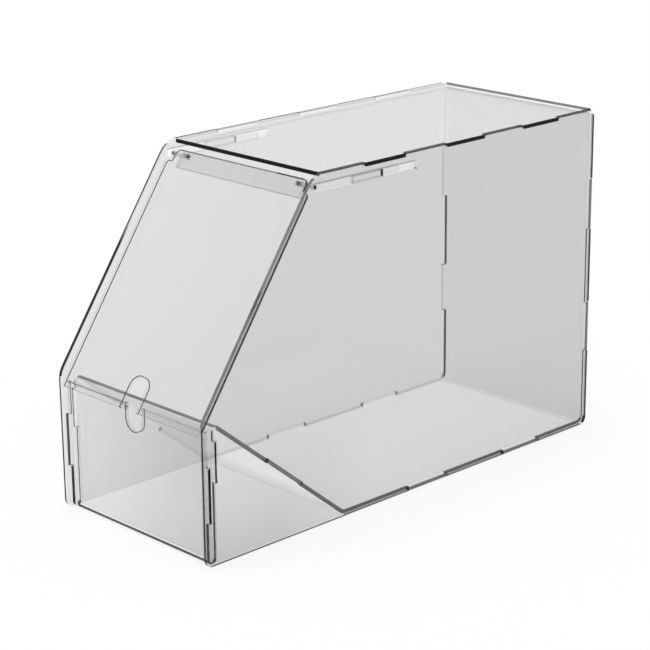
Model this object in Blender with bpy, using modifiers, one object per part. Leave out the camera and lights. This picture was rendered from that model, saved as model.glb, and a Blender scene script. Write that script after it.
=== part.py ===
"""Clear acrylic display bin with a sloping lid, a ramp floor and a narrow label pocket in front.

Metres, +Z up. The bin stands on Z = 0 with its width along X and its front towards -Y.
Profile sizes are measured from the front edge of the side panels (y) and from the table (z).
"""
import math

import bmesh
import bpy
from mathutils import Matrix, Vector

# Overall sizes
SHEET = 0.003
DEPTH = 0.400
INNER_WIDTH = 0.150
HEIGHT = 0.2552
FRONT_HEIGHT = 0.1032
SLANT_TOP = 0.1051

# Clearances
BUTT_GAP = 0.0003
TAB_FIT = 0.0002
LID_SIDE_GAP = 0.0005
PIN_FIT = 0.00008
SEAT_FIT = 0.00015
KEY_FIT = 0.0003

# Corner radii of the side panels
FOOT_RADIUS = 0.0065
BACK_RADIUS = 0.006
BROW_RADIUS = 0.020
KNEE_RADIUS = 0.016

# Bent body sheet
FRONT_PLATE = 0.0042
POCKET_GAP = 0.0033
RIDGE_HEIGHT = 0.098
RIDGE_RADIUS = 0.003
RAMP_SLOPE = math.radians(39.2)
RAMP_FOOT_RADIUS = 0.005
BACK_BEND_RADIUS = 0.0045
TAB_LENGTH = 0.040
FRONT_TAB = 0.051
FLANGE_TAB = 0.074
FLANGE_TAB_LENGTH = 0.030
RAMP_TAB = 0.0757
FLOOR_TABS = (0.2177, 0.3222)
BACK_TABS = (0.0815, 0.1805)

# Finger notches in the front plate and in the lid
NOTCH_WIDTH = 0.017
PLATE_NOTCH_DEPTH = 0.0192
LID_NOTCH_HEIGHT = 0.0255

# Top panel
TOP_SETBACK = 0.0064
FINGERS = 7

# Lid, in its own plane: the lower edge from the slanted edge's front corner, the rest from the pins
LID_RECESS = 0.004
LID_BOTTOM = -0.0077
SHOULDER_BELOW_PIN = 0.0063
NECK_ABOVE_PIN = 0.0032
LID_FOOT_RADIUS = 0.002
SHOULDER_RADIUS = 0.003
NECK_INSET = 0.0053
NECK_ROOT_RADIUS = 0.0015
NECK_RADIUS = 0.005

# Hinge strip and pins
STRIP_BELOW_PIN = 0.0101
STRIP_ABOVE_PIN = 0.0039
STRIP_END_GAP = 0.0067
PIN_RADIUS = 0.0015
PIN_SEAT = 0.008

# Runners in the side slots, their places measured from the pins
SLOT_AHEAD = 0.004
SLOT_LENGTH = 0.0997
SLOT_HEIGHT = 0.006
SLOT_BELOW_TOP = 0.0102
SLOT_RADIUS = 0.001
BAR_BEHIND = 0.0812
BAR_RADIUS = 0.001
KEY_BEHIND = 0.0322
KEY_LENGTH = 0.030
KEY_BEVEL = 0.0004

# Fineness of round stretches
ARC_STEP = math.radians(9)
PIN_SIDES = 40
FLAT = math.radians(0.1)

# Sizes that follow from the ones above
HALF_INNER = INNER_WIDTH / 2
HALF_OUTER = HALF_INNER + SHEET
SHEET_EDGE = HALF_INNER - BUTT_GAP
SLANT = math.atan2(HEIGHT - FRONT_HEIGHT, SLANT_TOP)
ALONG = Vector((0, math.cos(SLANT), math.sin(SLANT)))
OUTWARD = Vector((0, -math.sin(SLANT), math.cos(SLANT)))
LID_INNER_FACE = LID_RECESS + SHEET
STRIP_MIDDLE = LID_INNER_FACE + BUTT_GAP + SHEET / 2
BAR_MIDDLE = HALF_INNER - BUTT_GAP - SHEET / 2
STRIP_HALF = HALF_INNER - BUTT_GAP - SHEET - STRIP_END_GAP
BAR_HEIGHT = SLOT_HEIGHT - 2 * KEY_FIT
SLOT_MIDDLE = HEIGHT - SLOT_BELOW_TOP


def world(x, y, z):
    """Return the point at width x, distance y behind the front edge and height z."""
    return Vector((x, y - DEPTH / 2, z))


def lid_point(x, along, inward):
    """Return a point given along the slanted edge and inward from it."""
    return world(x, 0, FRONT_HEIGHT) + ALONG * along - OUTWARD * inward


def pivot():
    """Return the middle of the hinge axis, where the strip's mid-plane meets the slot's height."""
    drop = SLOT_MIDDLE - lid_point(0, 0, STRIP_MIDDLE).z
    return lid_point(0, drop / ALONG.z, STRIP_MIDDLE)


def pivot_along():
    """Return the distance of the hinge axis from the front corner, along the slanted edge."""
    return (pivot() - lid_point(0, 0, STRIP_MIDDLE)).length


def pivot_depth():
    """Return the distance of the hinge axis behind the front edge."""
    return pivot().y + DEPTH / 2


def frame(across, up, origin):
    """Return the matrix that lays a flat outline's x along across and its y along up."""
    across = Vector(across)
    up = Vector(up)
    turn = Matrix((across, up, across.cross(up))).transposed()
    return Matrix.Translation(origin) @ turn.to_4x4()


def side_frame(x):
    """Return the frame of an outline drawn as (y, z) and standing at width x."""
    return frame((0, 1, 0), (0, 0, 1), world(x, 0, 0))


def lid_frame(inward):
    """Return the frame of an outline drawn as (x, along) and lying inward of the slanted edge."""
    return frame((1, 0, 0), ALONG, lid_point(0, 0, inward))


def arc(before, corner, after, radius):
    """Return the points of a fillet that replaces a corner."""
    to_before = (before - corner).normalized()
    to_after = (after - corner).normalized()
    half_angle = to_before.angle(to_after) / 2
    tangent = radius / math.tan(half_angle)
    middle = (to_before + to_after).normalized() * (radius / math.sin(half_angle))
    centre = corner + middle
    start = corner + to_before * tangent - centre
    sweep = start.angle_signed(corner + to_after * tangent - centre)
    steps = max(2, math.ceil(abs(sweep) / ARC_STEP))
    points = []
    for step in range(steps + 1):
        turn = -sweep * step / steps
        points.append(centre + Matrix.Rotation(turn, 2) @ start)
    return points


def rounded(corners, closed=True):
    """Return an outline's points, with an arc at each corner (x, y, radius) that has a radius."""
    points = []
    spots = [Vector(corner[:2]) for corner in corners]
    for index, (x, y, radius) in enumerate(corners):
        end = not closed and index in (0, len(corners) - 1)
        if radius == 0 or end:
            points.append(spots[index])
            continue
        before = spots[index - 1]
        after = spots[(index + 1) % len(spots)]
        points += arc(before, spots[index], after, radius)
    kept = points[:1]
    for point in points[1:]:
        if (point - kept[-1]).length > SHEET / 1000:
            kept.append(point)
    if closed and (kept[0] - kept[-1]).length < SHEET / 1000:
        kept.pop()
    return kept


def circle(centre, radius, sides):
    """Return the points of a circle as an outline."""
    points = []
    for step in range(sides):
        angle = 2 * math.pi * step / sides
        points.append(Vector(centre) + Vector((math.cos(angle), math.sin(angle))) * radius)
    return points


def cut_from_sheet(name, outlines, thickness, matrix, group):
    """Make a flat piece from its outline and the outlines of its holes."""
    curve = bpy.data.curves.new(name, "CURVE")
    curve.dimensions = "2D"
    curve.fill_mode = "BOTH"
    curve.extrude = thickness / 2
    for outline in outlines:
        spline = curve.splines.new("POLY")
        spline.points.add(len(outline) - 1)
        for point, place in zip(spline.points, outline):
            point.co = (place.x, place.y, 0, 1)
        spline.use_cyclic_u = True
    drawn = bpy.data.objects.new(name + "_outline", curve)
    group.objects.link(drawn)
    drawn.matrix_world = matrix
    bpy.context.view_layer.update()
    evaluated = drawn.evaluated_get(bpy.context.evaluated_depsgraph_get())
    mesh = bpy.data.meshes.new_from_object(evaluated)
    weld(mesh)
    piece = bpy.data.objects.new(name, mesh)
    group.objects.link(piece)
    piece.matrix_world = drawn.matrix_world
    bpy.data.objects.remove(drawn)
    return piece


def weld(mesh):
    """Merge the caps of an extruded outline with its walls, and clear the caps of needless edges."""
    shape = bmesh.new()
    shape.from_mesh(mesh)
    bmesh.ops.remove_doubles(shape, verts=shape.verts, dist=SHEET / 1000)
    bmesh.ops.dissolve_degenerate(shape, edges=shape.edges, dist=SHEET / 1000)
    bmesh.ops.dissolve_limit(shape, angle_limit=FLAT, verts=shape.verts, edges=shape.edges)
    shape.to_mesh(mesh)
    shape.free()


def block(name, size, matrix, group):
    """Make a box from a primitive cube."""
    shape = bmesh.new()
    bmesh.ops.create_cube(shape, size=1, matrix=Matrix.Diagonal((*size, 1)))
    mesh = bpy.data.meshes.new(name)
    shape.to_mesh(mesh)
    shape.free()
    piece = bpy.data.objects.new(name, mesh)
    piece.matrix_world = matrix
    group.objects.link(piece)
    return piece


def rod(name, radius, length, matrix, group):
    """Make a round rod along its own Z."""
    shape = bmesh.new()
    bmesh.ops.create_cone(
        shape,
        cap_ends=True,
        segments=PIN_SIDES,
        radius1=radius,
        radius2=radius,
        depth=length,
    )
    mesh = bpy.data.meshes.new(name)
    shape.to_mesh(mesh)
    shape.free()
    mesh.shade_smooth()
    mesh.set_sharp_from_angle(angle=math.radians(40))
    piece = bpy.data.objects.new(name, mesh)
    piece.matrix_world = matrix
    group.objects.link(piece)
    return piece


def cut(piece, cutter):
    """Cut a piece with a hidden cutter."""
    cutter.hide_render = True
    cutter.display_type = "WIRE"
    boolean = piece.modifiers.new("cut_" + cutter.name, "BOOLEAN")
    boolean.operation = "DIFFERENCE"
    boolean.solver = "EXACT"
    boolean.object = cutter


def acrylic(piece, colour, alpha):
    """Give a piece its own clear, glossy plastic."""
    material = bpy.data.materials.new(piece.name + "_acrylic")
    material.use_nodes = True
    shader = material.node_tree.nodes["Principled BSDF"]
    shader.inputs["Base Color"].default_value = (*colour, 1)
    shader.inputs["Metallic"].default_value = 0
    shader.inputs["Roughness"].default_value = 0.04
    shader.inputs["IOR"].default_value = 1.49
    shader.inputs["Transmission Weight"].default_value = 0.9
    shader.inputs["Alpha"].default_value = alpha
    material.diffuse_color = (*colour, alpha)
    piece.data.materials.append(material)


def hang_on(piece, empty):
    """Parent a piece to the empty on its joint's axis and keep it where it is."""
    piece.parent = empty
    piece.matrix_parent_inverse = empty.matrix_world.inverted()


def axis_empty(name, place, group):
    """Make the empty that marks a joint's axis."""
    empty = bpy.data.objects.new(name, None)
    empty.empty_display_size = SLOT_HEIGHT
    group.objects.link(empty)
    empty.location = place
    bpy.context.view_layer.update()
    return empty


def plate_top():
    """Return the height at which the front plate's outer edge meets the closed lid's inner face."""
    seat = LID_INNER_FACE + BUTT_GAP
    return FRONT_HEIGHT + (FRONT_PLATE * math.sin(SLANT) - seat) / math.cos(SLANT)


def ramp_ends():
    """Return the sharp corners between which the ramp's mid-plane runs, top end first."""
    flange = FRONT_PLATE + SHEET + POCKET_GAP + SHEET / 2
    turn = math.pi / 2 + RAMP_SLOPE
    fold_centre = RIDGE_HEIGHT - SHEET / 2 - RIDGE_RADIUS
    ridge = Vector((flange, fold_centre + RIDGE_RADIUS * math.tan(turn / 2)))
    run = (ridge.y - SHEET / 2) / math.tan(RAMP_SLOPE)
    foot = Vector((flange + run, SHEET / 2))
    return ridge, foot


def tab_spans():
    """Return the two ends of each side tab on the bent sheet's mid-plane, from the front plate round."""
    ridge, foot = ramp_ends()
    plate = FRONT_PLATE + SHEET / 2
    uphill = (ridge - foot).normalized()
    back = DEPTH - SHEET / 2
    half = TAB_LENGTH / 2
    flange_half = FLANGE_TAB_LENGTH / 2
    spans = [
        (Vector((plate, FRONT_TAB + half)), Vector((plate, FRONT_TAB - half))),
        (Vector((ridge.x, FLANGE_TAB - flange_half)), Vector((ridge.x, FLANGE_TAB + flange_half))),
        (foot + uphill * (RAMP_TAB + half), foot + uphill * (RAMP_TAB - half)),
    ]
    for middle in FLOOR_TABS:
        spans.append((Vector((middle - half, SHEET / 2)), Vector((middle + half, SHEET / 2))))
    for middle in BACK_TABS:
        spans.append((Vector((back, middle - half)), Vector((back, middle + half))))
    return spans


def sheet_path():
    """Return the bent sheet's mid-plane in profile, from the front plate's top to the back's top."""
    ridge, foot = ramp_ends()
    plate = FRONT_PLATE + SHEET / 2
    fold_radius = (ridge.x - plate) / 2
    back = DEPTH - SHEET / 2
    marks = []
    for start, end in tab_spans():
        marks.append([(*start, 0), (*end, 0)])
    corners = [
        (plate, plate_top(), 0),
        *marks[0],
        (plate, SHEET / 2, fold_radius),
        (ridge.x, SHEET / 2, fold_radius),
        *marks[1],
        (*ridge, RIDGE_RADIUS),
        *marks[2],
        (*foot, RAMP_FOOT_RADIUS),
        *marks[3],
        *marks[4],
        (back, SHEET / 2, BACK_BEND_RADIUS),
        *marks[5],
        *marks[6],
        (back, HEIGHT - SHEET - BUTT_GAP, 0),
    ]
    return rounded(corners, closed=False)


def grow_tabs(shape):
    """Draw the tabs out of the sheet's two long edges, up to the panels' outer faces."""
    middles = [(start + end) / 2 for start, end in tab_spans()]
    for side in (-1, 1):
        edges = []
        for edge in shape.edges:
            centre = (edge.verts[0].co + edge.verts[1].co) / 2
            spot = Vector((centre.y + DEPTH / 2, centre.z))
            on_side = abs(centre.x - side * SHEET_EDGE) < SHEET / 100
            if on_side and min((spot - middle).length for middle in middles) < SHEET / 100:
                edges.append(edge)
        grown = bmesh.ops.extrude_edge_only(shape, edges=edges)["geom"]
        tips = [item for item in grown if isinstance(item, bmesh.types.BMVert)]
        bmesh.ops.translate(shape, verts=tips, vec=(side * (HALF_OUTER - SHEET_EDGE), 0, 0))


def make_bent_sheet(group, cutters):
    """Make the one sheet that is folded into front plate, pocket, ramp, floor and back."""
    shape = bmesh.new()
    verts = [shape.verts.new(world(-SHEET_EDGE, *point)) for point in sheet_path()]
    edges = [shape.edges.new(pair) for pair in zip(verts, verts[1:])]
    swept = bmesh.ops.extrude_edge_only(shape, edges=edges)["geom"]
    far = [item for item in swept if isinstance(item, bmesh.types.BMVert)]
    bmesh.ops.translate(shape, verts=far, vec=(2 * SHEET_EDGE, 0, 0))
    grow_tabs(shape)
    bmesh.ops.recalc_face_normals(shape, faces=shape.faces)
    mesh = bpy.data.meshes.new("bent_body_sheet")
    shape.to_mesh(mesh)
    shape.free()
    sheet = bpy.data.objects.new("bent_body_sheet", mesh)
    group.objects.link(sheet)
    solid = sheet.modifiers.new("sheet", "SOLIDIFY")
    solid.thickness = SHEET
    solid.offset = 0
    solid.use_even_offset = True
    cut(sheet, make_notch_cutter(cutters))
    settle(sheet)
    acrylic(sheet, (0.90, 0.92, 0.93), 0.35)
    return sheet


def settle(piece):
    """Fix a piece's modifiers in its mesh, so that its bends can be shaded smooth."""
    bpy.context.view_layer.update()
    evaluated = piece.evaluated_get(bpy.context.evaluated_depsgraph_get())
    mesh = bpy.data.meshes.new_from_object(evaluated)
    mesh.shade_smooth()
    mesh.set_sharp_from_angle(angle=math.radians(30))
    piece.modifiers.clear()
    piece.data = mesh


def make_notch_cutter(cutters):
    """Make the round-ended cutter for the finger notch in the front plate's top edge."""
    half = NOTCH_WIDTH / 2
    low = plate_top() - PLATE_NOTCH_DEPTH
    high = plate_top() + SHEET
    corners = [(-half, high, 0), (-half, low, half), (half, low, half), (half, high, 0)]
    middle = world(0, FRONT_PLATE + SHEET / 2, 0)
    placed = frame((1, 0, 0), (0, 0, 1), middle)
    return cut_from_sheet("plate_notch_cutter", [rounded(corners)], SHEET + POCKET_GAP, placed, cutters)


def make_tab_cutters(cutters):
    """Make one bar through both side panels for each tab of the bent sheet."""
    bars = []
    for number, (start, end) in enumerate(tab_spans()):
        run = end - start
        middle = (start + end) / 2
        along = (0, run.x / run.length, run.y / run.length)
        size = (run.length + 2 * TAB_FIT, SHEET + 2 * TAB_FIT, 2 * HALF_OUTER + SHEET)
        across = Vector((1, 0, 0)).cross(Vector(along))
        placed = frame(along, across, world(0, *middle))
        bars.append(block("tab_cutter_%d" % number, size, placed, cutters))
    return bars


def finger_spans():
    """Return the ends, front to back, of the top panel's fingers that pass through the side panels."""
    front = SLANT_TOP + TOP_SETBACK
    pitch = (DEPTH - front) / FINGERS
    spans = []
    for number in range(1, FINGERS - 1, 2):
        spans.append((front + pitch * number, front + pitch * (number + 1)))
    return spans


def make_finger_cutters(cutters):
    """Make one bar through both side panels for each finger of the top panel."""
    bars = []
    for number, (start, end) in enumerate(finger_spans()):
        size = (2 * HALF_OUTER + SHEET, end - start, SHEET + 2 * TAB_FIT)
        placed = Matrix.Translation(world(0, (start + end) / 2, HEIGHT - SHEET / 2))
        bars.append(block("finger_cutter_%d" % number, size, placed, cutters))
    return bars


def make_slot_cutter(cutters):
    """Make the cutter for the slot that the runner's key slides in, through both side panels."""
    low = SLOT_MIDDLE - SLOT_HEIGHT / 2
    high = SLOT_MIDDLE + SLOT_HEIGHT / 2
    front = pivot_depth() - SLOT_AHEAD
    rear = front + SLOT_LENGTH
    corners = [
        (front, low, SLOT_RADIUS),
        (rear, low, SLOT_RADIUS),
        (rear, high, SLOT_RADIUS),
        (front, high, SLOT_RADIUS),
    ]
    width = 2 * HALF_OUTER + SHEET
    return cut_from_sheet("slot_cutter", [rounded(corners)], width, side_frame(0), cutters)


def make_side_panels(group, cutters):
    """Make the two side panels, cut alike for tabs, fingers and runners."""
    corners = [
        (0, 0, FOOT_RADIUS),
        (DEPTH, 0, BACK_RADIUS),
        (DEPTH, HEIGHT, BACK_RADIUS),
        (SLANT_TOP, HEIGHT, BROW_RADIUS),
        (0, FRONT_HEIGHT, KNEE_RADIUS),
    ]
    bars = make_tab_cutters(cutters) + make_finger_cutters(cutters) + [make_slot_cutter(cutters)]
    for name, side in (("left_side_panel", -1), ("right_side_panel", 1)):
        placed = side_frame(side * (HALF_INNER + SHEET / 2))
        panel = cut_from_sheet(name, [rounded(corners)], SHEET, placed, group)
        for bar in bars:
            cut(panel, bar)
        acrylic(panel, (0.92, 0.93, 0.94), 0.3)


def make_top_panel(group):
    """Make the top panel, whose side fingers lie flush in the side panels' upper edges."""
    front = SLANT_TOP + TOP_SETBACK
    right = [(SHEET_EDGE, front, 0)]
    for start, end in finger_spans():
        near = start + TAB_FIT
        far = end - TAB_FIT
        right += [(SHEET_EDGE, near, 0), (HALF_OUTER, near, 0), (HALF_OUTER, far, 0), (SHEET_EDGE, far, 0)]
    right.append((SHEET_EDGE, DEPTH, 0))
    left = [(-x, y, radius) for x, y, radius in reversed(right)]
    placed = Matrix.Translation(world(0, 0, HEIGHT - SHEET / 2))
    panel = cut_from_sheet("top_panel", [rounded(right + left)], SHEET, placed, group)
    acrylic(panel, (0.92, 0.93, 0.94), 0.3)


def make_lid_panel(group):
    """Make the lid with its finger notch below and its narrower neck above."""
    half = HALF_INNER - LID_SIDE_GAP
    neck = half - NECK_INSET
    notch = NOTCH_WIDTH / 2
    notch_top = LID_BOTTOM + LID_NOTCH_HEIGHT
    shoulder = pivot_along() - SHOULDER_BELOW_PIN
    right = [
        (notch, notch_top, notch),
        (notch, LID_BOTTOM, 0),
        (half, LID_BOTTOM, LID_FOOT_RADIUS),
        (half, shoulder, SHOULDER_RADIUS),
        (neck, shoulder, NECK_ROOT_RADIUS),
        (neck, pivot_along() + NECK_ABOVE_PIN, NECK_RADIUS),
    ]
    left = [(-x, y, radius) for x, y, radius in reversed(right)]
    placed = lid_frame(LID_RECESS + SHEET / 2)
    lid = cut_from_sheet("lid_panel", [rounded(right + left)], SHEET, placed, group)
    acrylic(lid, (0.93, 0.94, 0.95), 0.3)
    return lid


def make_hinge_strip(group):
    """Make the strip bonded inside the lid's neck, with a seat at each end for a hinge pin."""
    half = STRIP_HALF
    seat_low = pivot_along() - PIN_RADIUS - SEAT_FIT
    seat_high = pivot_along() + PIN_RADIUS + SEAT_FIT
    seat_end = half - PIN_SEAT - SEAT_FIT
    right = [
        (half, pivot_along() - STRIP_BELOW_PIN, 0),
        (half, seat_low, 0),
        (seat_end, seat_low, 0),
        (seat_end, seat_high, 0),
        (half, seat_high, 0),
        (half, pivot_along() + STRIP_ABOVE_PIN, 0),
    ]
    left = [(-x, y, radius) for x, y, radius in reversed(right)]
    placed = lid_frame(STRIP_MIDDLE)
    strip = cut_from_sheet("lid_hinge_strip", [rounded(right + left)], SHEET, placed, group)
    acrylic(strip, (0.86, 0.88, 0.89), 0.4)
    return strip


def make_hinge_pin(name, side, group):
    """Make a pin that is bonded in the strip's end and turns in the runner bar."""
    inner = STRIP_HALF - PIN_SEAT
    outer = HALF_INNER - BUTT_GAP
    place = pivot() + Vector((side * (inner + outer) / 2, 0, 0))
    lying = Matrix.Translation(place) @ Matrix.Rotation(math.pi / 2, 4, "Y")
    pin = rod(name, PIN_RADIUS, outer - inner, lying, group)
    acrylic(pin, (0.30, 0.31, 0.32), 0.6)
    return pin


def make_runner_bar(name, side, group):
    """Make the bar that lies inside a side panel behind its slot and carries the hinge pin."""
    low = SLOT_MIDDLE - BAR_HEIGHT / 2
    high = SLOT_MIDDLE + BAR_HEIGHT / 2
    front = pivot_depth() - BAR_HEIGHT / 2
    rear = pivot_depth() + BAR_BEHIND
    corners = [
        (front, low, BAR_HEIGHT / 2),
        (rear, low, BAR_RADIUS),
        (rear, high, BAR_RADIUS),
        (front, high, BAR_HEIGHT / 2),
    ]
    eye = circle((pivot_depth(), SLOT_MIDDLE), PIN_RADIUS + PIN_FIT, PIN_SIDES)
    bar = cut_from_sheet(name, [rounded(corners), eye], SHEET, side_frame(side * BAR_MIDDLE), group)
    acrylic(bar, (0.88, 0.90, 0.91), 0.4)
    return bar


def make_runner_key(name, side, group):
    """Make the key that is bonded to the bar and slides in the side panel's slot."""
    size = (SHEET, KEY_LENGTH, BAR_HEIGHT)
    depth = pivot_depth() + KEY_BEHIND + KEY_LENGTH / 2
    middle = world(side * (HALF_INNER + SHEET / 2), depth, SLOT_MIDDLE)
    key = block(name, size, Matrix.Translation(middle), group)
    bevel = key.modifiers.new("edges", "BEVEL")
    bevel.width = KEY_BEVEL
    bevel.segments = 1
    acrylic(key, (0.55, 0.57, 0.58), 0.5)
    return key


def make_lid(group):
    """Make the lid, its strip and its two pins, all turning about the hinge axis."""
    hinge = axis_empty("lid_pivot", pivot(), group)
    hang_on(make_lid_panel(group), hinge)
    hang_on(make_hinge_strip(group), hinge)
    for name, side in (("left_hinge_pin", -1), ("right_hinge_pin", 1)):
        hang_on(make_hinge_pin(name, side, group), hinge)


def make_runners(group):
    """Make the two runners, each a bar and its key, sliding along the side panels."""
    for hand, side in (("left", -1), ("right", 1)):
        place = world(side * BAR_MIDDLE, pivot_depth(), SLOT_MIDDLE)
        slide = axis_empty(hand + "_runner", place, group)
        hang_on(make_runner_bar(hand + "_runner_bar", side, group), slide)
        hang_on(make_runner_key(hand + "_runner_key", side, group), slide)


def new_collection(name):
    """Make a collection in the scene."""
    collection = bpy.data.collections.new(name)
    bpy.context.scene.collection.children.link(collection)
    return collection


def main():
    """Clear the scene and make the bin."""
    for item in list(bpy.data.objects):
        bpy.data.objects.remove(item)
    group = new_collection("display_bin")
    cutters = new_collection("cutters")
    make_side_panels(group, cutters)
    make_bent_sheet(group, cutters)
    make_top_panel(group)
    make_lid(group)
    make_runners(group)
    bpy.context.view_layer.update()


main()
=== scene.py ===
"""Looks of the clear display bin, laid out as an add-on and run as a script.

Each sheet of the bin is a merged copy of its solid with its sharp edges eased. Its faces are sorted
into clear faces, corner lines and cut edges, because clear sheet is bright through its faces and
dark at its rims.
"""

import math

import bpy
from mathutils import Matrix, Vector


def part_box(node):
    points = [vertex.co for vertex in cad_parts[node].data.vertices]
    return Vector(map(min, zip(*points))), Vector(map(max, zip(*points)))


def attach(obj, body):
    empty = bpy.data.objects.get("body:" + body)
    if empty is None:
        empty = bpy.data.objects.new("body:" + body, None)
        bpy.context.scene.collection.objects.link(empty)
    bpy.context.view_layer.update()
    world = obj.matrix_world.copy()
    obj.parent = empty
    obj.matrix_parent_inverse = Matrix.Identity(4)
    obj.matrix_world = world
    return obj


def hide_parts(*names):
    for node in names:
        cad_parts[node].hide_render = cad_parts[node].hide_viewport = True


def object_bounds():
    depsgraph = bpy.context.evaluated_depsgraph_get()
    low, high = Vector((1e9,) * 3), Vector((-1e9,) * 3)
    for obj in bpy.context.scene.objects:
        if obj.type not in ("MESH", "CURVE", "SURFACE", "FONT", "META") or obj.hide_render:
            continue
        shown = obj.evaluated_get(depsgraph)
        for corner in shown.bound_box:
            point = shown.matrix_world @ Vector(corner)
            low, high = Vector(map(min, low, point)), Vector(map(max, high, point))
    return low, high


bl_info = {
    "name": "Clear Display Bin",
    "version": (1, 0, 0),
    "blender": (4, 5, 0),
    "location": "3D View > Sidebar > Display Bin",
    "description": "Builds the sheets, hinge and runners of a clear display bin, and its stage",
    "category": "Object",
}

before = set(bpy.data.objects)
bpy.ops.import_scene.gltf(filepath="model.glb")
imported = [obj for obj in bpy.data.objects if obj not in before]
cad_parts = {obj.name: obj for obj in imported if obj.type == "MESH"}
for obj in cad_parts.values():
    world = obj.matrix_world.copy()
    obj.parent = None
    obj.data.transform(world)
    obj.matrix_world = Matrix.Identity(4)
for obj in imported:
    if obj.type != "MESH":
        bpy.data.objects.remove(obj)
CAD_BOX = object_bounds()

# Places and sizes in metres, read from the solids
FRONT = CAD_BOX[0].y
TOP = CAD_BOX[1].z
BIN_MIDDLE = (CAD_BOX[0] + CAD_BOX[1]) / 2
INNER_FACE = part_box("right_runner_bar")[1].x
OUTER_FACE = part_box("right_side_panel")[1].x
BACK_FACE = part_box("bent_body_sheet")[1].y
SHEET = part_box("top_panel")[1].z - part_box("top_panel")[0].z
PLATE_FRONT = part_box("bent_body_sheet")[0].y
KEY_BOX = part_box("right_runner_key")
SLOT_BAND = (KEY_BOX[0].z - SHEET / 4, KEY_BOX[1].z + SHEET / 4)
LID_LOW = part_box("lid_panel")[0].z
LID_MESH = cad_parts["lid_panel"].data
LID_ACROSS = max(LID_MESH.polygons, key=lambda face: (face.normal.z > 0) * face.area).normal.copy()
LID_INSIDE = min(LID_ACROSS.dot(vertex.co) for vertex in LID_MESH.vertices)
RIDGE_LOW = TOP * 0.35  # the pocket's ridge lies above it, the floor's and the ramp's tabs below
PIVOT_HEIGHT = sum(corner.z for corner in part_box("left_hinge_pin")) / 2
PIN_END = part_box("right_hinge_pin")[0].x
TOP_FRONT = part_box("top_panel")[0].y
POCKET_BACK = PLATE_FRONT + SHEET * 3.4
RAMP_FOOT = PLATE_FRONT + 0.1283
RAMP_RISE = math.tan(math.radians(39.2))
CORNER_TOP = TOP * 0.765  # the black line up the rear corners ends here
SLOPE_FADE = (TOP * 0.74, TOP * 0.79)  # the left slope turns faint between these heights
PIN_RING = (0.0036, 0.0042)  # the ring on a pin fades out here, from the pin's inner end

# Greys and patterns that several finishes share; a pattern's scale is in spots to the metre
BLACK = 0.002
RIPPLE_HEIGHT = 0.001
CUTTER_STREAKS = 420
STREAK_STOPS = ((0.35, 0.0), (0.65, 1.0))

# How the solids are merged and eased, and how straight a normal lies along an axis
MERGE_WITHIN = 1e-5
FLAT_WITHIN = math.radians(0.5)
EASE_ABOVE = math.radians(40)
SMOOTH_BELOW = math.radians(20)
FLAT_ON = 0.9
END_WALL = 0.99

# The stage
CLEAR_LAYERS = 64
FLOOR_DROP = 0.0004
WHITE = (1, 1, 1, 1)
LAMP_PLACE = Vector((-0.25, -0.3, 2.2))
LAMP_SPREAD = math.radians(35)
SENSOR_WIDTH = 36
CAMERA_REACH = (0.01, 50)


class Wire:
    """An output in a node tree, so that a sum written with it adds the Math nodes for it."""

    def __init__(self, paint, socket):
        self.paint = paint
        self.socket = socket

    def sum(self, operation, first, second):
        """Add one Math node."""
        return self.paint.node("Math", {"operation": operation}, {0: first, 1: second})

    def __add__(self, other):
        return self.sum("ADD", self, other)

    def __radd__(self, other):
        return self.sum("ADD", other, self)

    def __sub__(self, other):
        return self.sum("SUBTRACT", self, other)

    def __rsub__(self, other):
        return self.sum("SUBTRACT", other, self)

    def __mul__(self, other):
        return self.sum("MULTIPLY", self, other)

    def __rmul__(self, other):
        return self.sum("MULTIPLY", other, self)

    def __gt__(self, other):
        return self.sum("GREATER_THAN", self, other)

    def __lt__(self, other):
        return self.sum("LESS_THAN", self, other)

    def __abs__(self):
        return self.sum("ABSOLUTE", self, 0.0)

    def most(self, other):
        """Return the larger of this value and another."""
        return self.sum("MAXIMUM", self, other)

    def least(self, other):
        """Return the smaller of this value and another."""
        return self.sum("MINIMUM", self, other)


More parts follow.
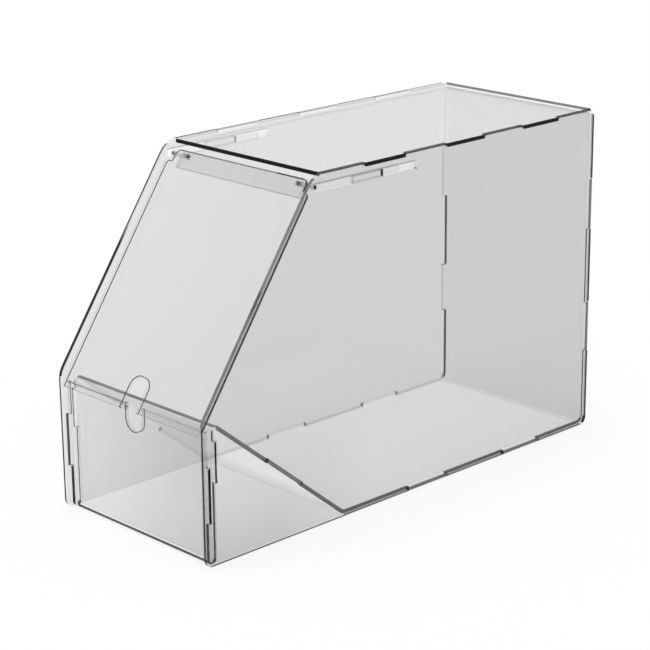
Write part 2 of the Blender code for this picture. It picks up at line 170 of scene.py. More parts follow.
class Paint:
    """The node tree of a finish or of the world."""

    def __init__(self, owner):
        owner.use_nodes = True
        self.owner = owner
        self.tree = owner.node_tree
        self.tree.nodes.clear()

    def node(self, kind, settings=None, sockets=None, output=0):
        """Add a node, set it up, feed its sockets and return one of its outputs."""
        made = self.tree.nodes.new("ShaderNode" + kind)
        for name, value in (settings or {}).items():
            if name == "stops":
                set_stops(made.color_ramp, value)
            else:
                setattr(made, name, value)
        for name, value in (sockets or {}).items():
            if isinstance(value, Wire):
                self.tree.links.new(value.socket, made.inputs[name])
            else:
                made.inputs[name].default_value = value
        return Wire(self, made.outputs[output] if made.outputs else None)

    def spot(self):
        """Return the object's own coordinates."""
        return self.node("TexCoord", output="Object")

    def axis(self, name):
        """Return one of the object's own coordinates."""
        return self.node("SeparateXYZ", {}, {"Vector": self.spot()}, output=name)

    def noise(self, scale, detail=2.0, rough=0.5, stretch=(1, 1, 1)):
        """Return soft noise between 0 and 1, at a scale given in spots to the metre."""
        place = self.node("Mapping", {}, {"Vector": self.spot(), "Scale": stretch})
        sockets = {"Vector": place, "Scale": scale, "Detail": detail, "Roughness": rough}
        return self.node("TexNoise", {}, sockets)

    def streaks(self, stretch=(1, 1, 1)):
        """Return the fine streaks that a cutter leaves."""
        return self.noise(CUTTER_STREAKS, 3.0, 0.6, stretch)

    def left(self):
        """Return 1 on the left half of the bin and 0 on its right half."""
        return self.axis("X") < 0.0

    def right(self):
        """Return 1 on the right half of the bin and 0 on its left half."""
        return self.axis("X") > 0.0

    def side_depth(self):
        """Return the way through a side sheet, 0 at its inner face and 1 at its outer one."""
        return (abs(self.axis("X")) - INNER_FACE) * (1 / SHEET)

    def top_height(self):
        """Return the way up through the top sheet, 0 at its lower face and 1 at its upper one."""
        return (self.axis("Z") - TOP + SHEET) * (1 / SHEET)

    def pocket(self):
        """Return 1 at the front plate and the pocket behind it, and 0 elsewhere."""
        return self.axis("Y") < POCKET_BACK

    def edge(self, tone, cover):
        """Return the shader of a cut edge, with the share of light that it stops."""
        sockets = {"Base Color": tone, "Roughness": 0.3, "Specular IOR Level": 0.1, "Alpha": cover}
        return self.node("BsdfPrincipled", {}, sockets)

    def pane(self, through):
        """Return the shader of one clear face of a sheet that passes a share of the light."""
        return self.node("BsdfTransparent", {}, {"Color": grey(math.sqrt(through))})

    def ramp(self, value, stops):
        """Return a value sent through a ramp of greys."""
        return self.node("ValToRGB", {"stops": stops}, {"Fac": value})

    def blend(self, share, first, second):
        """Return a colour between two."""
        sockets = {"Factor": share, 6: first, 7: second}
        return self.node("Mix", {"data_type": "RGBA"}, sockets, output=2)

    def mix(self, share, first, second):
        """Return a shader between two."""
        return self.node("MixShader", {}, {0: share, 1: first, 2: second})

    def surface(self, shader):
        """Send a shader to the output."""
        kind = "OutputWorld" if isinstance(self.owner, bpy.types.World) else "OutputMaterial"
        self.node(kind, {}, {"Surface": shader})
        return self.owner


def set_stops(ramp, stops):
    """Give a colour ramp its stops, each a place and a grey."""
    while len(ramp.elements) < len(stops):
        ramp.elements.new(1.0)
    for element, (place, grey) in zip(ramp.elements, stops):
        element.position = place
        element.color = (grey, grey, grey, 1)


def grey(level):
    """Return a neutral colour."""
    return (level, level, level, 1)


def new_paint(name):
    """Start a new finish."""
    return Paint(bpy.data.materials.new(name))


def clear_face(name, through, look, mirror=1.0, painted_shade_rightward=0.0, painted_shade_low_front=0.0, painted_light_wedge=0.0):
    """Make the finish of a sheet's face: clear, with a mirror of the pale room and a faint haze.

    Painted shade may darken it from left to right and towards the floor in front. Painted light may
    brighten the triangle below the ramp, standing for light that the ramp's underside mirrors
    there.
    """
    paint = new_paint(name)
    ripple = paint.noise(look.ripple_scale, 1.0)
    swell = {"Strength": look.ripple_depth, "Distance": RIPPLE_HEIGHT, "Height": ripple}
    wave = paint.node("Bump", {}, swell)
    facing = paint.node("LayerWeight", {}, {"Blend": 0.5}, output="Facing")
    straight_on = ((look.ior - 1) / (look.ior + 1)) ** 2
    shine = facing * facing * facing * facing * facing * (1 - straight_on) + straight_on
    shine = shine * (look.mirror * mirror)
    pane = paint.pane(through)
    if painted_shade_rightward or painted_shade_low_front:
        # painted shade: a dark layer mixed into the clear face where it is to look darker
        painted_shade = paint.node("BsdfPrincipled", {}, {"Base Color": grey(0.02), "Roughness": 0.5})
    if painted_shade_rightward:
        # painted shade, darker from left to right
        rightward = paint.axis("X") * (0.5 / OUTER_FACE) + 0.5
        pane = paint.mix(rightward * painted_shade_rightward, pane, painted_shade)
    if painted_shade_low_front:
        # painted shade, darker towards the floor in front
        near_floor = paint.ramp(paint.axis("Z"), ((0.0, 1.0), (TOP * 0.38, 0.0)))
        rearward = paint.ramp(paint.axis("Y") - FRONT, ((0.07, 0.0), (0.16, 0.75)))
        pane = paint.mix(near_floor * (1 - rearward) * painted_shade_low_front, pane, painted_shade)
    if painted_light_wedge:
        # painted light: the triangle below the ramp passes more light, standing for light mirrored
        # by the ramp's underside
        drop = (paint.axis("Y") - RAMP_FOOT) * RAMP_RISE
        over = paint.ramp(paint.axis("Z") + drop * 0.75, ((0.0, 0.0), (0.006, 1.0)))
        under = paint.axis("Z") + drop < 0.0
        pane = paint.mix(over * under, pane, paint.pane(painted_light_wedge))
    gloss = {"Color": grey(look.room), "Roughness": look.polish, "Normal": wave}
    clear = paint.mix(shine.least(1.0), pane, paint.node("BsdfGlossy", {}, gloss))
    smudge = paint.noise(look.smudge_scale, 4.0, 0.6)
    body = paint.node("BsdfPrincipled", {}, {"Base Color": grey(0.8), "Roughness": 0.35})
    return paint.surface(paint.mix(look.haze * (0.2 + smudge * 1.6), clear, body))


def rim_line(name, level, solid):
    """Make the finish of an eased corner, which shows as a line."""
    paint = new_paint(name)
    tone = paint.blend(paint.noise(900, 2.0), grey(level * 0.5), grey(level * 1.5))
    return paint.surface(paint.edge(tone, solid))


def cut_edge(name, dark, light, solid, stretch=(1, 1, 1), left_share=1.0):
    """Make the finish of a cut edge, streaked by the cutter. On the left it may be fainter."""
    paint = new_paint(name)
    tone = paint.blend(paint.ramp(paint.streaks(stretch), STREAK_STOPS), grey(dark), grey(light))
    cover = solid if left_share == 1.0 else solid * (1 - paint.left() * (1 - left_share))
    return paint.surface(paint.edge(tone, cover))


def slanted_edge(name):
    """Make the finish of a side sheet's sloping edge: dark, with lighter stretches along it."""
    paint = new_paint(name)
    along = paint.noise(26, 2.0, 0.5, (0.01, 1, 1))
    fine = paint.noise(300, 3.0, 0.6, (1, 0.15, 0.15))
    right = paint.right()
    level = paint.ramp(along * 0.7 + fine * 0.3, ((0.36, 0.1), (0.46, 0.2), (0.64, 0.3)))
    low = paint.ramp(paint.axis("Z"), ((SLOPE_FADE[0], 1.0), (SLOPE_FADE[1], 0.0)))
    tone = level * (0.12 + right * 0.88)
    depth = paint.side_depth()
    clear = paint.ramp(depth, ((0.05, 1.0), (0.2, 0.0))) * 0.4
    fade = (1 - low) * (1 - right) * (depth < 0.6)
    colour = paint.blend(tone, grey(0), grey(1))
    return paint.surface(paint.edge(colour, 1 - clear.most(fade * 0.8)))


def banded_edge(name, dark, open_share):
    """Make the finish of a side sheet's other cut edges: dark along the outer side, else clear.

    The lower edge carries a painted reflection of the floor's dark edge behind the ramp's foot, so
    it is grey there. The left sheet's lower and rear edges are faint.
    """
    paint = new_paint(name)
    depth = paint.side_depth()
    right = paint.right()
    wander = paint.noise(60, 3.0) * 0.16 - 0.08
    high = paint.axis("Z") > TOP - SHEET / 4
    outer = paint.ramp(depth + wander + high * 0.35, ((0.46, 0.0), (0.58, 1.0)))
    spots = paint.ramp(paint.noise(330, 3.0, 0.6), ((0.5, 0.0), (0.7, 1.0)))
    line = paint.blend(spots, grey(dark), grey(dark * 5))
    low = paint.axis("Z") < SHEET / 3
    under = low * (paint.axis("Y") > RAMP_FOOT) * right
    reflected_floor_line = under * (depth < 0.78)
    # painted reflection: grey on the right sheet's lower edge behind the ramp's foot, standing for
    # the floor's dark edge
    mirrored = paint.blend(spots, grey(0.09), grey(0.15))
    colour = paint.blend(reflected_floor_line, paint.blend(outer, grey(0.85), line), mirrored)
    rear = paint.axis("Y") > BACK_FACE - SHEET / 3
    faint = low.most(rear) * (1 - right) * 0.85
    far = paint.ramp(paint.axis("Y"), ((0.0, 0.0), (BACK_FACE, 0.5))) * high
    inside = (open_share * (0.4 + spots)).most(rear * right * 0.6)
    colour = paint.blend(rear * (1 - outer), colour, paint.blend(spots, grey(0.12), grey(0.4)))
    cover = inside * (1 - outer) + outer * (1 - under * 0.6) * (1 - far)
    return paint.surface(paint.edge(colour, cover.most(reflected_floor_line * 0.95) * (1 - faint)))


def joint_edge(name):
    """Make the finish of the bent sheet's side edges, bonded to the side sheets.

    They are grey along the ramp and the floor, a thin line up the back, and mottled by bubbles at
    the pocket.
    """
    paint = new_paint(name)
    back = (paint.axis("Y") > BACK_FACE - SHEET * 1.2) * (paint.axis("Z") > SHEET * 1.5)
    corner = (paint.axis("Y") > BACK_FACE - SHEET * 0.65) * (paint.axis("Z") > SHEET * 0.8)
    corner = corner * (paint.axis("Z") < CORNER_TOP)
    pocket = paint.pocket()
    low = paint.ramp(paint.axis("Z"), ((0.0, 1.0), (0.07, 0.75), (0.1, 0.2)))
    specks = paint.noise(480, 2.0, 0.65)
    black = (specks < 0.48) * low
    white = (specks > 0.52) * low
    tone = paint.blend(paint.ramp(paint.streaks(), STREAK_STOPS), grey(0.11), grey(0.18))
    tone = paint.blend(pocket, tone, paint.blend(white, grey(0.03), grey(0.95)))
    tone = paint.blend(corner, tone, grey(BLACK))
    mottled = (black * 0.85).most(white * 0.8).most(0.06)
    band = (1 - back * 0.85) * (1 - pocket) * 0.95 + pocket * mottled
    cover = corner.most(band * (1 - paint.left() * 0.82))
    return paint.surface(paint.edge(tone, cover))


def tab_end(name):
    """Make the finish of a tab's end: black bands at the pocket, grey along floor and back."""
    paint = new_paint(name)
    pocket = paint.pocket()
    first = (paint.axis("Y") - PLATE_FRONT) * (1 / SHEET)
    second = first - 2.1
    wander = paint.noise(150, 3.0) * 0.2
    front_band = first + wander < 0.7 + paint.left() * 0.25
    rear_band = (second + wander < 0.5) * (second > -0.5)
    tone = paint.blend(paint.streaks(), grey(0.12), grey(0.2))
    dark = pocket * front_band.most(rear_band)
    tone = paint.blend(dark, paint.blend(pocket, tone, grey(0.7)), grey(BLACK))
    cover = dark.most((1 - pocket) * 0.95 * (1 - paint.left() * 0.8)).most(pocket * 0.2)
    return paint.surface(paint.edge(tone, cover))


def top_edge(name):
    """Make the finish of the top's cut edges: black in front, banded at the sides and the rear."""
    paint = new_paint(name)
    front = paint.axis("Y") < TOP_FRONT + SHEET / 3
    height = paint.top_height()
    rear = paint.axis("Y") > BACK_FACE - SHEET / 3
    upper = paint.ramp(height, ((0.3, 0.0), (0.42, 1.0))) * (1 - rear)
    middle = paint.ramp(height, ((0.2, 0.0), (0.26, 1.0), (0.9, 1.0), (0.96, 0.0))) * rear
    cover = front.most(upper * (1 - paint.left() * 0.8)).most(middle)
    return paint.surface(paint.edge(grey(BLACK), cover))


def finger_end(name):
    """Make the finish of the top's finger ends: black, on the left only along the upper side."""
    paint = new_paint(name)
    height = paint.top_height()
    upper = paint.ramp(height, ((0.45, 0.0), (0.6, 0.75)))
    tone = paint.blend(paint.noise(CUTTER_STREAKS, 3.0), grey(0.001), grey(0.006))
    return paint.surface(paint.edge(tone, upper.most(1 - paint.left()).most(0.12)))


def lid_edge(name):
    """Make the finish of the lid's cut edges: clear, with a dark line up the right-hand one."""
    paint = new_paint(name)
    height = paint.axis("Y") * LID_ACROSS.y + paint.axis("Z") * LID_ACROSS.z - LID_INSIDE
    line = paint.ramp(height * (1 / SHEET), ((0.78, 1.0), (0.86, 0.0)))
    low = paint.axis("Z") < LID_LOW + SHEET * 1.2
    dark = line * (1 - low) * (paint.axis("X") > INNER_FACE / 2)
    return paint.surface(paint.edge(paint.blend(dark, grey(0.8), grey(0.004)), dark.most(0.12)))


def pin_side(name):
    """Make the finish of a pin's side: streaked and clear, with a black ring at its inner end."""
    paint = new_paint(name)
    ring = paint.ramp(abs(paint.axis("X")) - PIN_END, ((PIN_RING[0], 1.0), (PIN_RING[1], 0.0)))
    streaked = paint.blend(paint.streaks((0.3, 1, 1)), grey(0.1), grey(0.7))
    tone = paint.blend(ring, streaked, grey(BLACK))
    return paint.surface(paint.edge(tone, ring.most(0.3)))


def select_only(item):
    """Deselect everything, then select and activate one object."""
    bpy.ops.object.select_all(action="DESELECT")
    item.select_set(True)
    bpy.context.view_layer.objects.active = item


def merged_copy(node, name):
    """Copy a solid as a new piece and merge its loose triangles into whole faces."""
    select_only(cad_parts[node])
    bpy.ops.object.duplicate()
    piece = bpy.context.view_layer.objects.active
    piece.name = name
    piece.data.name = name
    piece.data.materials.clear()
    for key in list(piece.keys()):
        del piece[key]
    piece.parent = None
    piece.matrix_world = Matrix.Identity(4)
    bpy.ops.object.mode_set(mode="EDIT")
    bpy.ops.mesh.select_all(action="SELECT")
    bpy.ops.mesh.customdata_custom_splitnormals_clear()
    bpy.ops.mesh.remove_doubles(threshold=MERGE_WITHIN)
    bpy.ops.mesh.dissolve_limited(angle_limit=FLAT_WITHIN)
    bpy.ops.mesh.normals_make_consistent(inside=False)
    bpy.ops.object.mode_set(mode="OBJECT")
    return piece


def ease_edges(piece, width, rim):
    """Ease the sharp edges of a piece and give the eased strips the rim's finish."""
    select_only(piece)
    bevel = piece.modifiers.new("eased_edges", "BEVEL")
    bevel.limit_method = "ANGLE"
    bevel.angle_limit = EASE_ABOVE
    bevel.width = width
    bevel.segments = 1
    bevel.material = rim
    bpy.ops.object.modifier_apply(modifier=bevel.name)
    bpy.ops.object.shade_smooth_by_angle(angle=SMOOTH_BELOW)


def soften_rims(mesh, rim, soft, beside):
    """Give the eased strips beside some faces a finish of their own."""
    near = set()
    for face in mesh.polygons:
        if face.material_index == beside:
            near.update(face.edge_keys)
    for face in mesh.polygons:
        if face.material_index == rim and near.intersection(face.edge_keys):
            face.material_index = soft


def dress(piece, node, body, slot, finishes, sort, width, sort_rim=None):
    """Sort a piece's faces by finish, ease its edges and put it in its solid's place."""
    names = list(finishes)
    for finish in finishes.values():
        piece.data.materials.append(finish)
    for face in piece.data.polygons:
        face.material_index = names.index(sort(piece.data, face))
    rim = names.index("rim")
    ease_edges(piece, width, rim)
    for name in names:
        if name + "_rim" in names:
            soften_rims(piece.data, rim, names.index(name + "_rim"), names.index(name))
    for face in piece.data.polygons:
        if sort_rim and names[face.material_index].endswith("rim"):
            face.material_index = names.index(sort_rim(names[face.material_index], face))
    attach(piece, body)
    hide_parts(node)


def reach(mesh, face, axis):
    """Return how far a face reaches along one axis."""
    places = [mesh.vertices[index].co[axis] for index in face.vertices]
    return max(places) - min(places)


def side_sort(mesh, face):
    """Sort a side sheet's faces: its two sides, its outline and the walls of its holes."""
    if abs(face.normal.x) > FLAT_ON:
        return "face"
    centre = face.center
    toward_middle = Vector((0, BIN_MIDDLE.y - centre.y, BIN_MIDDLE.z - centre.z))
    slot = SLOT_BAND[0] < centre.z < SLOT_BAND[1] and abs(face.normal.y) < END_WALL
    on_outline = min(
        centre.y - FRONT - SHEET,
        BACK_FACE - centre.y,
        centre.z,
        TOP - centre.z,
    ) < SHEET / 10
    if slot and face.normal.z < -FLAT_ON:
        return "slot"
    if is_tick(mesh, face) and centre.z < RIDGE_LOW:
        return "tick"
    outward = face.normal.dot(toward_middle) < 0
    slanted = face.normal.y < -0.5 and face.normal.z > 0.2
    if slanted and outward:
        return "slant"
    return "cut" if on_outline and outward and not slot else "hole"


def top_sort(mesh, face):
    """Sort the top sheet's faces, with its fingers' ends as tabs."""
    if abs(face.normal.z) > FLAT_ON:
        return "face"
    return "tab" if abs(face.center.x) > OUTER_FACE - SHEET / 10 else "cut"


def lid_sort(mesh, face):
    """Sort the lid's faces into its two sides and its edges."""
    return "face" if abs(face.normal.dot(LID_ACROSS)) > FLAT_ON else "cut"


def strip_sort(mesh, face):
    """Sort the strip's faces, with the inner walls of its pin seats apart."""
    if abs(face.normal.x) > FLAT_ON and abs(face.center.x) < PIN_END + SHEET / 2:
        return "seat"
    return lid_sort(mesh, face)


def lid_rim_sort(name, face):
    """Sort the lid's eased corners: the inner ones show dark, and the lower end's are faint."""
    low = face.center.z < LID_LOW + SHEET * 1.5 and abs(face.normal.x) < 0.2
    outer = face.normal.dot(LID_ACROSS) > 0.2
    notch = abs(face.center.x) < INNER_FACE / 4 and face.center.z < LID_LOW + SHEET * 12
    if low or (outer and not notch):
        return "soft_rim"
    return "rim"


def strip_rim_sort(name, face):
    """Sort the strip's eased corners: the outer ones of its upper side are faint."""
    upper = face.center.z > PIVOT_HEIGHT and abs(face.normal.x) < 0.2
    return "soft_rim" if upper else "rim"


def pin_sort(mesh, face):
    """Sort a pin's faces into its ends and its side."""
    return "cut" if abs(face.normal.x) > FLAT_ON else "face"


def runner_sort(mesh, face):
    """Sort the faces of a runner's bar or key."""
    if abs(face.normal.x) > FLAT_ON:
        return "face"
    return "cut" if face.normal.y > FLAT_ON else "hole"


def body_sort(mesh, face):
    """Sort the bent sheet's faces by the part of the sheet they are on."""
    centre = face.center
    normal = face.normal
    pocket = centre.y < PLATE_FRONT + SHEET * 3.5
    if abs(centre.x) > INNER_FACE:
        if abs(normal.x) > 0.5:
            return "tab"
        return "tick" if is_tick(mesh, face) else "hole"
    in_plate = centre.y < PLATE_FRONT + SHEET * 1.05 and centre.z > SHEET * 4
    plate_cut = in_plate and abs(normal.y) < 0.3
    back_cut = normal.z > FLAT_ON and centre.z > TOP / 2
    if plate_cut or back_cut:
        return "hole"
    if abs(normal.x) > 0.5:
        return "cut"
    ridge = normal.z > 0.72 and abs(normal.y) < 0.5 and centre.z > RIDGE_LOW
    if ridge and not in_plate:
        return "bend"
    if pocket:
        fold = normal.z < -0.95 and centre.z < SHEET / 4
        return "fold" if fold else "pocket"
    return "back" if centre.y > BACK_FACE - SHEET * 2 else "face"


def is_tick(mesh, face):
    """Tell whether a face is an end wall of a floor or ramp tab, or of the slot around it."""
    short = max(reach(mesh, face, 1), reach(mesh, face, 2)) < SHEET * 1.5
    return short and abs(face.normal.y) > 0.5 and face.center.y > PLATE_FRONT + SHEET * 4


def body_rim_sort(name, face):
    """Sort the bent sheet's eased corners: the plate's upper front one shows dark on the left."""
    front = face.normal.y < -0.2 and face.center.y < PLATE_FRONT + SHEET / 2
    straight = abs(face.center.x) > INNER_FACE / 6
    high = face.center.z > TOP / 2
    if name == "hole_rim" and front and straight and not high:
        return "hole_rim" if face.center.x < 0 else "rim"
    return "soft_rim" if name == "hole_rim" and high else name


class BinLook(bpy.types.PropertyGroup):
    """How clear the sheets are and how dark their edges show."""

    side_through: bpy.props.FloatProperty(
        name="Side clearness", description="Share of light that a side sheet passes", default=0.805,
        min=0, max=1, subtype="FACTOR",
    )
    floor_through: bpy.props.FloatProperty(
        name="Floor clearness", description="Share of light that the ramp and the floor pass",
        default=0.945, min=0, max=1, subtype="FACTOR",
    )
    back_through: bpy.props.FloatProperty(
        name="Back clearness", description="Share of light that the back passes", default=0.76,
        min=0, max=1, subtype="FACTOR",
    )
    runner_through: bpy.props.FloatProperty(
        name="Runner clearness", description="Share of light that a runner passes", default=0.90,
        min=0, max=1, subtype="FACTOR",
    )
    room: bpy.props.FloatProperty(
        name="Room", description="How bright the room is that the faces mirror",
        default=0.78, min=0, max=1, subtype="FACTOR",
    )
    pocket_through: bpy.props.FloatProperty(
        name="Pocket clearness", description="Share of light that a wall of the pocket passes",
        default=0.99, min=0, max=1, subtype="FACTOR",
    )
    top_through: bpy.props.FloatProperty(
        name="Top clearness", description="Share of light that the top passes", default=0.97,
        min=0, max=1, subtype="FACTOR",
    )
    lid_through: bpy.props.FloatProperty(
        name="Lid clearness", description="Share of light that the lid passes", default=0.955,
        min=0, max=1, subtype="FACTOR",
    )
    strip_through: bpy.props.FloatProperty(
        name="Strip clearness", description="Share of light that the hinge strip passes",
        default=0.85, min=0, max=1, subtype="FACTOR",
    )
    easing: bpy.props.FloatProperty(
        name="Eased edge", description="Width of the eased edge of a sheet", default=0.00048,
        min=0, unit="LENGTH",
    )
    mirror: bpy.props.FloatProperty(
        name="Mirror", description="How much a face mirrors, next to one plain surface",
        default=0.8, min=0,
    )
    polish: bpy.props.FloatProperty(
        name="Polish", description="Roughness of a face", default=0.03, min=0, max=1,
    )
    ior: bpy.props.FloatProperty(
        name="Bending of light", description="Refractive index of acrylic", default=1.49, min=1,
    )
    haze: bpy.props.FloatProperty(
        name="Haze", description="Share of light that a face scatters", default=0.01, min=0, max=1,
        subtype="FACTOR",
    )
    smudge_scale: bpy.props.FloatProperty(
        name="Smudges", description="Soft smudges to the metre", default=14.0, min=0,
    )
    ripple_scale: bpy.props.FloatProperty(
        name="Ripples", description="Ripples of the sheet to the metre", default=9.0, min=0,
    )
    ripple_depth: bpy.props.FloatProperty(
        name="Ripple depth", description="How deep the ripples are", default=0.15, min=0, max=1,
    )


class BinStage(bpy.types.PropertyGroup):
    """The floor, the light and the camera."""

    floor_size: bpy.props.FloatProperty(
        name="Floor", description="Side of the floor", default=14.0, unit="LENGTH",
    )
    floor_white: bpy.props.FloatProperty(
        name="Floor white", description="Share of the floor that stays white in a shadow",
        default=0.78, min=0, max=1, subtype="FACTOR",
    )
    sky: bpy.props.FloatProperty(
        name="Sky", description="Strength of the even light from all round", default=0.72, min=0,
    )
    lamp: bpy.props.FloatProperty(
        name="Lamp", description="Strength of the soft lamp above", default=0.9, min=0,
    )
    lens: bpy.props.FloatProperty(
        name="Lens", description="Focal length in millimetres", default=117.6, min=1, unit="CAMERA",
    )
    azimuth: bpy.props.FloatProperty(
        name="Azimuth", description="Where the camera stands round the bin",
        default=math.radians(46.238), subtype="ANGLE",
    )
    elevation: bpy.props.FloatProperty(
        name="Elevation", description="How high the camera stands",
        default=math.radians(17.677), subtype="ANGLE",
    )
    roll: bpy.props.FloatProperty(
        name="Roll", description="Tilt of the camera",
        default=math.radians(-0.555), subtype="ANGLE",
    )
    aim: bpy.props.FloatVectorProperty(
        name="Aim",
        description="Sideways, upward and backward way of the camera from the footprint's front",
        default=(0.134255, 0.148417, 1.487103), subtype="XYZ_LENGTH",
    )


class SidesOperator(bpy.types.Operator):
    """Build the two side sheets"""

    bl_idname = "display_bin.sides"
    bl_label = "Side Sheets"
    bl_options = {"REGISTER", "UNDO"}

    def execute(self, context):
        look = context.scene.bin_look
        outline = banded_edge("side_cut", dark=0.006, open_share=0.14)
        slope = slanted_edge("side_slope")
        tick = cut_edge("side_tick", dark=0.001, light=0.004, solid=1.0, left_share=0.5)
        faces = {
            "left": clear_face("side_face_left", look.side_through, look),
            # the right side sheet gets painted shade near the floor in front and painted light
            # below the ramp
            "right": clear_face("side_face_right", look.side_through, look, painted_shade_low_front=0.15, painted_light_wedge=0.96),
        }
        finishes = {
            "face": faces["left"],
            "rim": outline,
            "cut": outline,
            "slant": slope,
            "slant_rim": slope,
            "slot": cut_edge("side_slot", dark=0.06, light=0.14, solid=0.55),
            "tick": tick,
            "tick_rim": tick,
            "hole": cut_edge("side_hole", dark=0.35, light=0.7, solid=0.12),
            "hole_rim": rim_line("side_hole_rim", level=0.2, solid=0.22),
        }
        for hand in ("left", "right"):
            node = hand + "_side_panel"
            piece = merged_copy(node, hand + "_side_sheet")
            finishes["face"] = faces[hand]
            dress(piece, node, "bin", "clear_acrylic", finishes, side_sort, look.easing)
        return {"FINISHED"}


class BodyOperator(bpy.types.Operator):
    """Build the bent sheet of front plate, pocket, ramp, floor and back"""

    bl_idname = "display_bin.body"
    bl_label = "Bent Sheet"
    bl_options = {"REGISTER", "UNDO"}

    def execute(self, context):
        look = context.scene.bin_look
        joint = joint_edge("body_joint")
        tab = tab_end("body_tab")
        tick = cut_edge("body_tick", dark=0.001, light=0.004, solid=1.0, left_share=0.5)
        finishes = {
            "face": clear_face("floor_face", look.floor_through, look, mirror=0.1),
            "rim": rim_line("body_rim", level=0.06, solid=0.35),
            "cut": joint,
            "cut_rim": joint,
            "tab": tab,
            "tab_rim": tab,
            "tick": tick,
            "tick_rim": tick,
            # the pocket's walls get painted shade, darker to the right and towards the floor in
            # front
            "pocket": clear_face("pocket_face", look.pocket_through, look, painted_shade_rightward=0.1, painted_shade_low_front=0.02),
            "back": clear_face("back_face", look.back_through, look),
            "fold": cut_edge("body_fold", dark=0.001, light=0.003, solid=1.0),
            "bend": cut_edge("body_bend", dark=0.04, light=0.14, solid=0.85, stretch=(0.05, 1, 1)),
            "hole": cut_edge("body_hole", dark=0.3, light=0.7, solid=0.22),
            "hole_rim": rim_line("body_hole_rim", level=0.02, solid=0.9),
            "soft_rim": rim_line("body_soft_rim", level=0.4, solid=0.25),
        }
        piece = merged_copy("bent_body_sheet", "body_sheet")
        sorting = (body_sort, look.easing, body_rim_sort)
        dress(piece, "bent_body_sheet", "bin", "clear_acrylic_bent", finishes, *sorting)
        return {"FINISHED"}


class TopOperator(bpy.types.Operator):
    """Build the top sheet with its fingers"""

    bl_idname = "display_bin.top"
    bl_label = "Top Sheet"
    bl_options = {"REGISTER", "UNDO"}

    def execute(self, context):
        look = context.scene.bin_look
        edge = top_edge("top_cut")
        finishes = {
            "face": clear_face("top_face", look.top_through, look),
            "rim": edge,
            "cut": edge,
            "tab": finger_end("top_finger"),
            "tab_rim": finger_end("top_finger_rim"),
        }
        piece = merged_copy("top_panel", "top_sheet")
        dress(piece, "top_panel", "bin", "clear_acrylic", finishes, top_sort, look.easing)
        return {"FINISHED"}


class LidOperator(bpy.types.Operator):
    """Build the lid, its hinge strip and its pins"""

    bl_idname = "display_bin.lid"
    bl_label = "Lid"
    bl_options = {"REGISTER", "UNDO"}

    def execute(self, context):
        look = context.scene.bin_look
        finishes = {
            # the lid gets painted shade, darker to the right
            "face": clear_face("lid_face", look.lid_through, look, painted_shade_rightward=0.035),
            "rim": rim_line("lid_rim", level=0.01, solid=0.95),
            "soft_rim": rim_line("lid_soft_rim", level=0.3, solid=0.4),
            "cut": lid_edge("lid_cut"),
        }
        piece = merged_copy("lid_panel", "lid_sheet")
        sorting = (lid_sort, look.easing, lid_rim_sort)
        dress(piece, "lid_panel", "lid", "clear_acrylic", finishes, *sorting)
        finishes = {
            "face": clear_face("strip_face", look.strip_through, look),
            "rim": rim_line("strip_rim", level=0.1, solid=0.4),
            "soft_rim": rim_line("strip_soft_rim", level=0.4, solid=0.15),
            "cut": cut_edge("strip_cut", dark=0.4, light=0.7, solid=0.2),
            "seat": cut_edge("strip_seat", dark=0.002, light=0.01, solid=0.95),
        }
        piece = merged_copy("lid_hinge_strip", "hinge_strip")
        sorting = (strip_sort, look.easing, strip_rim_sort)
        dress(piece, "lid_hinge_strip", "lid", "clear_acrylic_bent", finishes, *sorting)
        finishes = {
            "face": pin_side("pin_side"),
            "rim": rim_line("pin_rim", level=0.01, solid=1.0),
            "cut": cut_edge("pin_end", dark=0.002, light=0.01, solid=1.0),
        }
        for hand in ("left", "right"):
            node = hand + "_hinge_pin"
            piece = merged_copy(node, "hinge_pin_" + hand)
            dress(piece, node, "lid", "clear_acrylic_hardware", finishes, pin_sort, look.easing)
        return {"FINISHED"}


class RunnersOperator(bpy.types.Operator):
    """Build the two runners, each a bar and its key"""

    bl_idname = "display_bin.runners"
    bl_label = "Runners"
    bl_options = {"REGISTER", "UNDO"}

    def execute(self, context):
        look = context.scene.bin_look
        bar = {
            "face": clear_face("bar_face", look.runner_through, look),
            "rim": rim_line("bar_rim", level=0.1, solid=0.14),
            "cut": cut_edge("bar_end", dark=0.3, light=0.6, solid=0.15),
            "hole": cut_edge("bar_cut", dark=0.3, light=0.6, solid=0.15),
        }
        end = cut_edge("key_end", dark=0.001, light=0.004, solid=1.0)
        key = {
            "face": clear_face("key_face", look.runner_through, look),
            "rim": rim_line("key_rim", level=0.08, solid=0.35),
            "cut": end,
            "cut_rim": end,
            "hole": cut_edge("key_cut", dark=0.3, light=0.6, solid=0.2),
        }
        for hand in ("left", "right"):
            for kind, finishes in (("bar", bar), ("key", key)):
                node = "%s_runner_%s" % (hand, kind)
                piece = merged_copy(node, "runner_%s_%s" % (kind, hand))
                slot = "clear_acrylic_bent" if kind == "bar" else "clear_acrylic_hardware"
                dress(piece, node, hand + "_runner", slot, finishes, runner_sort, look.easing)
        return {"FINISHED"}


class StageOperator(bpy.types.Operator):
    """Lay the floor and set up the light and the camera"""

    bl_idname = "display_bin.stage"
    bl_label = "Stage"
    bl_options = {"REGISTER", "UNDO"}

    def execute(self, context):
        stage = context.scene.bin_stage
        make_floor(stage)
        make_world(stage)
        make_lamp(stage)
        make_camera(stage)
        context.scene.view_settings.view_transform = "Standard"
        context.scene.cycles.transparent_max_bounces = CLEAR_LAYERS
        return {"FINISHED"}


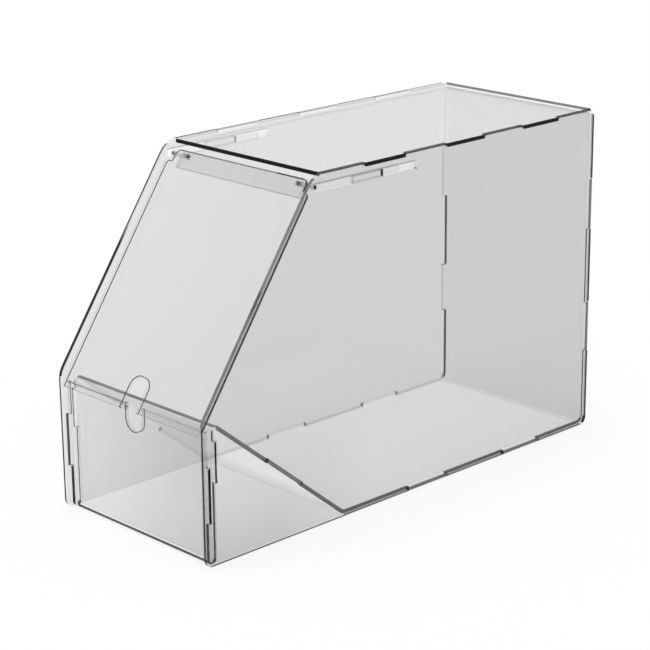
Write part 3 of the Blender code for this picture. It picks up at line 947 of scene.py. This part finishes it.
def make_floor(stage):
    """Lay a white floor that keeps a faint shadow."""
    bpy.ops.object.select_all(action="DESELECT")
    bpy.ops.mesh.primitive_plane_add(size=stage.floor_size, location=(0, 0, -FLOOR_DROP))
    floor = bpy.context.view_layer.objects.active
    floor.name = "floor"
    paint = new_paint("floor_white")
    rays = paint.node("LightPath", output="Is Camera Ray")
    lit = paint.node("BsdfDiffuse", {}, {"Color": WHITE})
    white = paint.node("Emission", {}, {"Color": WHITE, "Strength": 1.0})
    floor.data.materials.append(paint.surface(paint.mix(rays * stage.floor_white, lit, white)))


def make_world(stage):
    """Set an even light, with white where the camera or a mirror looks past the bin."""
    world = bpy.data.worlds.new("studio")
    bpy.context.scene.world = world
    paint = Paint(world)
    seen = paint.node("LightPath", output="Is Camera Ray")
    mirrored = paint.node("LightPath", output="Is Glossy Ray")
    passed = paint.node("LightPath", output="Is Transmission Ray")
    white = seen.most(mirrored).most(passed)
    strength = white * (1 - stage.sky) + stage.sky
    paint.surface(paint.node("Background", {}, {"Color": WHITE, "Strength": strength}))


def make_lamp(stage):
    """Hang one large soft lamp above the bin."""
    data = bpy.data.lights.new("soft_lamp", "SUN")
    data.energy = stage.lamp
    data.angle = LAMP_SPREAD
    lamp = bpy.data.objects.new("soft_lamp", data)
    bpy.context.scene.collection.objects.link(lamp)
    lamp.location = LAMP_PLACE
    lamp.rotation_euler = (-LAMP_PLACE).to_track_quat("-Z", "Y").to_euler()


def make_camera(stage):
    """Stand the camera where the photograph was taken from."""
    az, el, roll = stage.azimuth, stage.elevation, stage.roll
    back = Vector((math.sin(az) * math.cos(el), -math.cos(az) * math.cos(el), math.sin(el)))
    right = Vector((math.cos(az), math.sin(az), 0))
    up = back.cross(right)
    across = right * math.cos(roll) + up * math.sin(roll)
    upward = up * math.cos(roll) - right * math.sin(roll)
    turn = Matrix((across, upward, back)).transposed()
    data = bpy.data.cameras.new("camera")
    data.lens = stage.lens
    data.sensor_width = SENSOR_WIDTH
    data.clip_start, data.clip_end = CAMERA_REACH
    camera = bpy.data.objects.new("camera", data)
    bpy.context.scene.collection.objects.link(camera)
    place = turn @ Vector(stage.aim) - Vector((0, BACK_FACE, 0))
    camera.matrix_world = Matrix.Translation(place) @ turn.to_4x4()
    bpy.context.scene.camera = camera


class BinPanel(bpy.types.Panel):
    """The bin's operators and settings"""

    bl_idname = "VIEW3D_PT_display_bin"
    bl_label = "Display Bin"
    bl_space_type = "VIEW_3D"
    bl_region_type = "UI"
    bl_category = "Display Bin"

    def draw(self, context):
        for operator in OPERATORS:
            self.layout.operator(operator.bl_idname)
        for group in (context.scene.bin_look, context.scene.bin_stage):
            box = self.layout.box()
            for name in group.__annotations__:
                box.prop(group, name)


GROUPS = {"bin_look": BinLook, "bin_stage": BinStage}
OPERATORS = (SidesOperator, BodyOperator, TopOperator, LidOperator, RunnersOperator, StageOperator)


def register():
    """Register the settings, the operators and the panel."""
    for kind in (*GROUPS.values(), *OPERATORS, BinPanel):
        bpy.utils.register_class(kind)
    for name, kind in GROUPS.items():
        setattr(bpy.types.Scene, name, bpy.props.PointerProperty(type=kind))


def unregister():
    """Remove what register added."""
    for name in GROUPS:
        delattr(bpy.types.Scene, name)
    for kind in (BinPanel, *reversed(OPERATORS), *GROUPS.values()):
        bpy.utils.unregister_class(kind)


def main():
    """Build the bin and its stage."""
    register()
    for operator in OPERATORS:
        getattr(bpy.ops.display_bin, operator.bl_idname.split(".")[1])()


if __name__ == "__main__":
    main()
